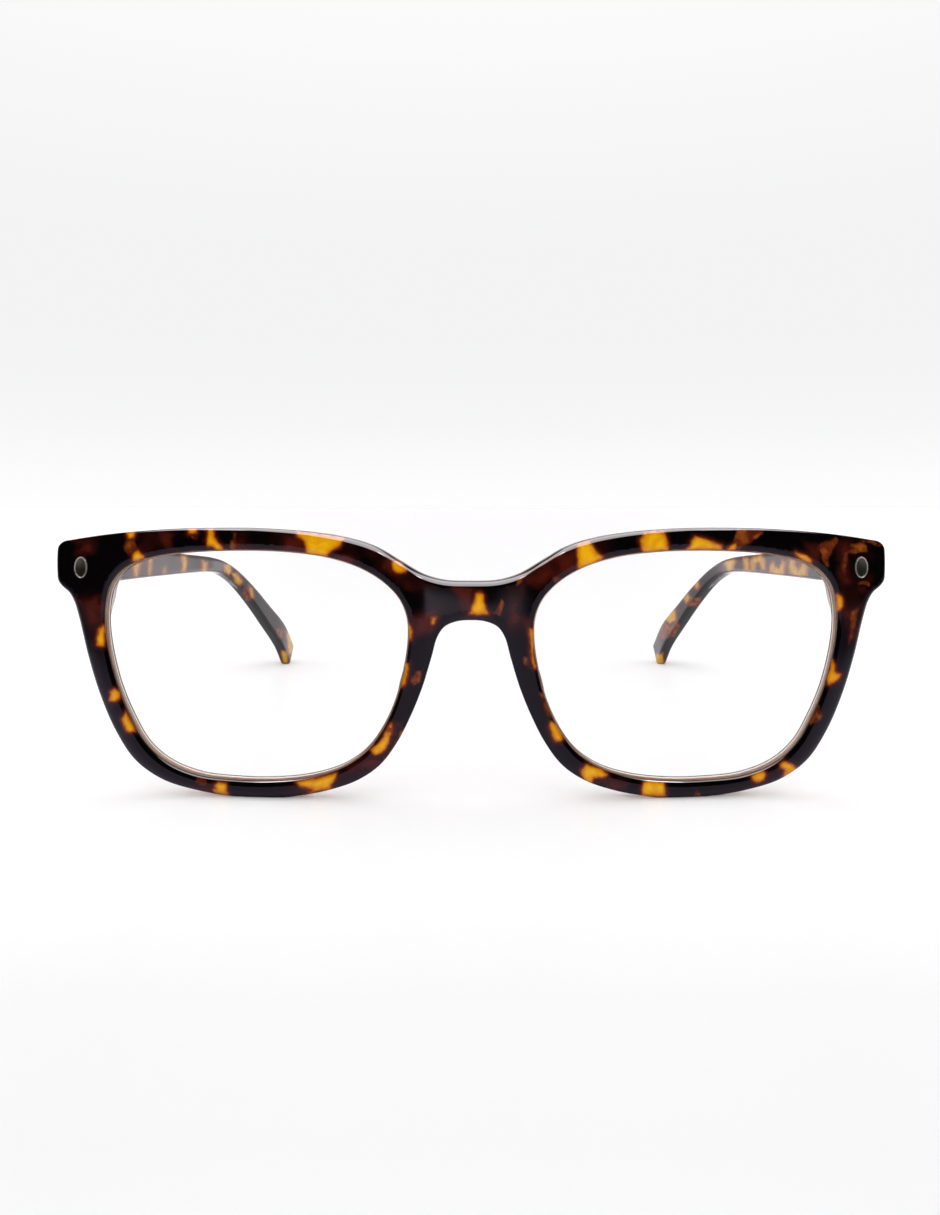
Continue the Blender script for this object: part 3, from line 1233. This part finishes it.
def make_floor():
    """The floor in three parts. Only the part near the glasses and the strip show in their polish."""
    white = white_sheet()
    corners = ((-1, -1), (1, -1), (1, 1), (-1, 1))
    near = [(NEAR_FLOOR_REACH * a, NEAR_FLOOR_FRONT if b < 0 else NEAR_FLOOR_BACK, 0) for a, b in corners]
    far = [(FLOOR_REACH * a, FLOOR_REACH * b, 0) for a, b in corners]
    strip = [(x * MM, FACE_Y - ahead * MM, STRIP_LIFT) for x, ahead in STRIP]
    around = [(i, (i + 1) % 4, (i + 1) % 4 + 4, i + 4) for i in range(4)]
    sheets = (
        ("near_floor", near, [(0, 1, 2, 3)]), ("far_floor", far + near, around),
        ("floor_strip", strip, [(0, 1, 2, 3), (0, 3, 6), (3, 4, 5, 6)]),
    )
    for name, points, faces in sheets:
        mesh = bpy.data.meshes.new(name)
        mesh.from_pydata(points, [], faces)
        mesh.materials.append(white)
        floor = bpy.data.objects.new(name, mesh)
        bpy.context.scene.collection.objects.link(floor)
        floor.visible_glossy = name != "far_floor"
        if name == "floor_strip":
            floor.visible_camera = floor.visible_diffuse = floor.visible_shadow = False


def make_light():
    """A white tent with a bright panel and two lamps overhead, and a dark room where the camera looks in."""
    world = bpy.data.worlds.new("light_tent")
    bpy.context.scene.world = world
    world.use_nodes = True
    world.node_tree.nodes.clear()
    add = partial(add_node, world.node_tree, "ShaderNode")
    spot = add("SeparateXYZ", [add("TexCoord").outputs["Generated"]]).outputs
    toward = {"Y": spot["Y"], "Z": spot["Z"], "aside": add("Math", [spot["X"]], operation="ABSOLUTE")}
    seen = {}
    for part, ramps in TENT.items():
        for axis, *limits in ramps:
            step = add("MapRange", [toward[axis], *limits], **SOFT)
            seen[part] = add("Math", [seen[part], step], operation="MULTIPLY") if part in seen else step
    strength = add("Math", [seen["back"], seen["panel"]], operation="MAXIMUM")
    strength = add("Math", [strength, seen["lamps"]], operation="MAXIMUM")
    mirrored_colour = add("Mix", [seen["room"], "fff8fb", "060607"], data_type="RGBA")
    in_polish = add("Background", {"Color": mirrored_colour, "Strength": strength})
    on_matt = add("Background", {"Color": "ffffff", "Strength": 1.36})
    backdrop = add(
        "ValToRGB", [spot["Z"]],
        (
            (0, "fefefe"), (0.03, "fcfcfc"), (0.06, "f9f9f9"), (0.09, "f6f6f7"), (0.17, "f3f3f4"),
            (0.27, "f3f3f4"), (0.36, "f6f6f6"), (0.48, "fbfbfb"),
        ),
    )
    behind = add("Background", {"Color": backdrop, "Strength": 1})
    rays = add("LightPath").outputs
    lit = add("MixShader", [rays["Is Diffuse Ray"], behind, on_matt])
    add("OutputWorld", [add("MixShader", [rays["Is Glossy Ray"], lit, in_polish])])


def make_camera():
    data = bpy.data.cameras.new("camera")
    width, height = PICTURE_SIZE
    data.sensor_width = SENSOR
    data.lens = SENSOR * FOCAL_PIXELS / height
    data.shift_x = (width / 2 - OPTICAL_MIDDLE[0]) / height
    data.shift_y = (OPTICAL_MIDDLE[1] - height / 2) / height
    data.clip_start = CAMERA_CLIP
    camera = bpy.data.objects.new("camera", data)
    camera.location = (EYE_X, FACE_Y - EYE_DISTANCE, EYE_Z)
    camera.rotation_euler = (math.pi / 2, 0, 0)
    bpy.context.scene.collection.objects.link(camera)
    bpy.context.scene.camera = camera


make_floor()
make_light()
make_camera()
bpy.context.scene.view_settings.view_transform = "Standard"
